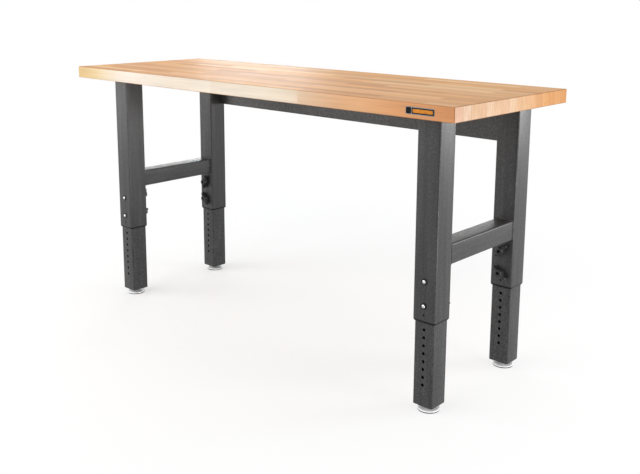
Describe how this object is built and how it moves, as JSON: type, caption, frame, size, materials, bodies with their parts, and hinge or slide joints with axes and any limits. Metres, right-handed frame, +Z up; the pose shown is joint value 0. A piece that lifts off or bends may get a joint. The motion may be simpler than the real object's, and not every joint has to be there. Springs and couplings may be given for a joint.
{
  "type": "height-adjustable workbench",
  "caption": "Long wooden-topped workbench on square telescopic steel legs with hole rows, wing knobs, levelling feet, end crossbars and a rear channel beam.",
  "frame": {"origin": "on the floor, below the middle of the slab, with the feet at the height shown in the picture", "axes": "+X along the slab to the viewer's right, +Y to the back, where the channel beam is, +Z up"},
  "size_m": [1.8288, 0.6365, 0.9645],
  "materials": {
    "wood": "oiled strip-glued hardwood",
    "frame_paint": "dark grey hammered powder coat",
    "leg_paint": "dark grey hammered powder coat with slide wear",
    "plug_plastic": "moulded",
    "foot_steel": "zinc plated",
    "bolt_steel": "zinc plated",
    "knob_plastic": "satin moulded",
    "badge": "plain printed plate, no lettering"
  },
  "bodies": {
    "bench": {"worktop": "wood", "upper_tube_front_left": "frame_paint", "upper_tube_front_right": "frame_paint", "upper_tube_rear_left": "frame_paint", "upper_tube_rear_right": "frame_paint", "leg_bolt_front_left_lower": "bolt_steel", "leg_bolt_front_left_upper": "bolt_steel", "leg_bolt_front_right_lower": "bolt_steel", "leg_bolt_front_right_upper": "bolt_steel", "leg_bolt_rear_left_lower": "bolt_steel", "leg_bolt_rear_left_upper": "bolt_steel", "leg_bolt_rear_right_lower": "bolt_steel", "leg_bolt_rear_right_upper": "bolt_steel", "crossbar_left": "frame_paint", "crossbar_right": "frame_paint", "top_plate_front_left": "frame_paint", "top_plate_front_right": "frame_paint", "top_plate_rear_left": "frame_paint", "top_plate_rear_right": "frame_paint", "plate_screw_front_left_a": "bolt_steel", "plate_screw_front_left_b": "bolt_steel", "plate_screw_front_right_a": "bolt_steel", "plate_screw_front_right_b": "bolt_steel", "plate_screw_rear_left_a": "bolt_steel", "plate_screw_rear_left_b": "bolt_steel", "plate_screw_rear_right_a": "bolt_steel", "plate_screw_rear_right_b": "bolt_steel", "rear_beam": "frame_paint", "beam_bracket_left": "frame_paint", "beam_bracket_right": "frame_paint", "beam_bolt_left_lower": "bolt_steel", "beam_bolt_left_upper": "bolt_steel", "beam_bolt_right_lower": "bolt_steel", "beam_bolt_right_upper": "bolt_steel", "badge_plate": "badge"},
    "leg_front_left": {"lower_tube_front_left": "leg_paint", "leg_plug_front_left": "plug_plastic"},
    "foot_front_left": {"foot_pad_front_left": "foot_steel", "foot_stud_front_left": "foot_steel"},
    "knob_front_left_lower_body": {"knob_front_left_lower": "knob_plastic"},
    "knob_front_left_upper_body": {"knob_front_left_upper": "knob_plastic"},
    "leg_front_right": {"lower_tube_front_right": "leg_paint", "leg_plug_front_right": "plug_plastic"},
    "foot_front_right": {"foot_pad_front_right": "foot_steel", "foot_stud_front_right": "foot_steel"},
    "knob_front_right_lower_body": {"knob_front_right_lower": "knob_plastic"},
    "knob_front_right_upper_body": {"knob_front_right_upper": "knob_plastic"},
    "leg_rear_left": {"lower_tube_rear_left": "leg_paint", "leg_plug_rear_left": "plug_plastic"},
    "foot_rear_left": {"foot_pad_rear_left": "foot_steel", "foot_stud_rear_left": "foot_steel"},
    "knob_rear_left_lower_body": {"knob_rear_left_lower": "knob_plastic"},
    "knob_rear_left_upper_body": {"knob_rear_left_upper": "knob_plastic"},
    "leg_rear_right": {"lower_tube_rear_right": "leg_paint", "leg_plug_rear_right": "plug_plastic"},
    "foot_rear_right": {"foot_pad_rear_right": "foot_steel", "foot_stud_rear_right": "foot_steel"},
    "knob_rear_right_lower_body": {"knob_rear_right_lower": "knob_plastic"},
    "knob_rear_right_upper_body": {"knob_rear_right_upper": "knob_plastic"}
  },
  "joints": [
    {"name": "leg_front_left_slide", "type": "slide", "parent": "bench", "child": "leg_front_left", "axis": [0, 0, -1], "range_m": [-0.254, 0.0508]},
    {"name": "foot_front_left_level", "type": "slide", "parent": "leg_front_left", "child": "foot_front_left", "axis": [0, 0, -1], "range_m": [-0.012, 0.021]},
    {"name": "knob_front_left_lower_turn", "type": "hinge", "parent": "bench", "child": "knob_front_left_lower_body", "pos_m": [-0.7645, -0.1397, 0.344], "axis": [0, 1, 0], "continuous": true},
    {"name": "knob_front_left_upper_turn", "type": "hinge", "parent": "bench", "child": "knob_front_left_upper_body", "pos_m": [-0.7645, -0.1397, 0.4202], "axis": [0, 1, 0], "continuous": true},
    {"name": "leg_front_right_slide", "type": "slide", "parent": "bench", "child": "leg_front_right", "axis": [0, 0, -1], "range_m": [-0.254, 0.0508]},
    {"name": "foot_front_right_level", "type": "slide", "parent": "leg_front_right", "child": "foot_front_right", "axis": [0, 0, -1], "range_m": [-0.012, 0.021]},
    {"name": "knob_front_right_lower_turn", "type": "hinge", "parent": "bench", "child": "knob_front_right_lower_body", "pos_m": [0.7645, -0.1397, 0.344], "axis": [0, 1, 0], "continuous": true},
    {"name": "knob_front_right_upper_turn", "type": "hinge", "parent": "bench", "child": "knob_front_right_upper_body", "pos_m": [0.7645, -0.1397, 0.4202], "axis": [0, 1, 0], "continuous": true},
    {"name": "leg_rear_left_slide", "type": "slide", "parent": "bench", "child": "leg_rear_left", "axis": [0, 0, -1], "range_m": [-0.254, 0.0508]},
    {"name": "foot_rear_left_level", "type": "slide", "parent": "leg_rear_left", "child": "foot_rear_left", "axis": [0, 0, -1], "range_m": [-0.012, 0.021]},
    {"name": "knob_rear_left_lower_turn", "type": "hinge", "parent": "bench", "child": "knob_rear_left_lower_body", "pos_m": [-0.7645, 0.2187, 0.344], "axis": [0, -1, 0], "continuous": true},
    {"name": "knob_rear_left_upper_turn", "type": "hinge", "parent": "bench", "child": "knob_rear_left_upper_body", "pos_m": [-0.7645, 0.2187, 0.4202], "axis": [0, -1, 0], "continuous": true},
    {"name": "leg_rear_right_slide", "type": "slide", "parent": "bench", "child": "leg_rear_right", "axis": [0, 0, -1], "range_m": [-0.254, 0.0508]},
    {"name": "foot_rear_right_level", "type": "slide", "parent": "leg_rear_right", "child": "foot_rear_right", "axis": [0, 0, -1], "range_m": [-0.012, 0.021]},
    {"name": "knob_rear_right_lower_turn", "type": "hinge", "parent": "bench", "child": "knob_rear_right_lower_body", "pos_m": [0.7645, 0.2187, 0.344], "axis": [0, -1, 0], "continuous": true},
    {"name": "knob_rear_right_upper_turn", "type": "hinge", "parent": "bench", "child": "knob_rear_right_upper_body", "pos_m": [0.7645, 0.2187, 0.4202], "axis": [0, -1, 0], "continuous": true}
  ]
}
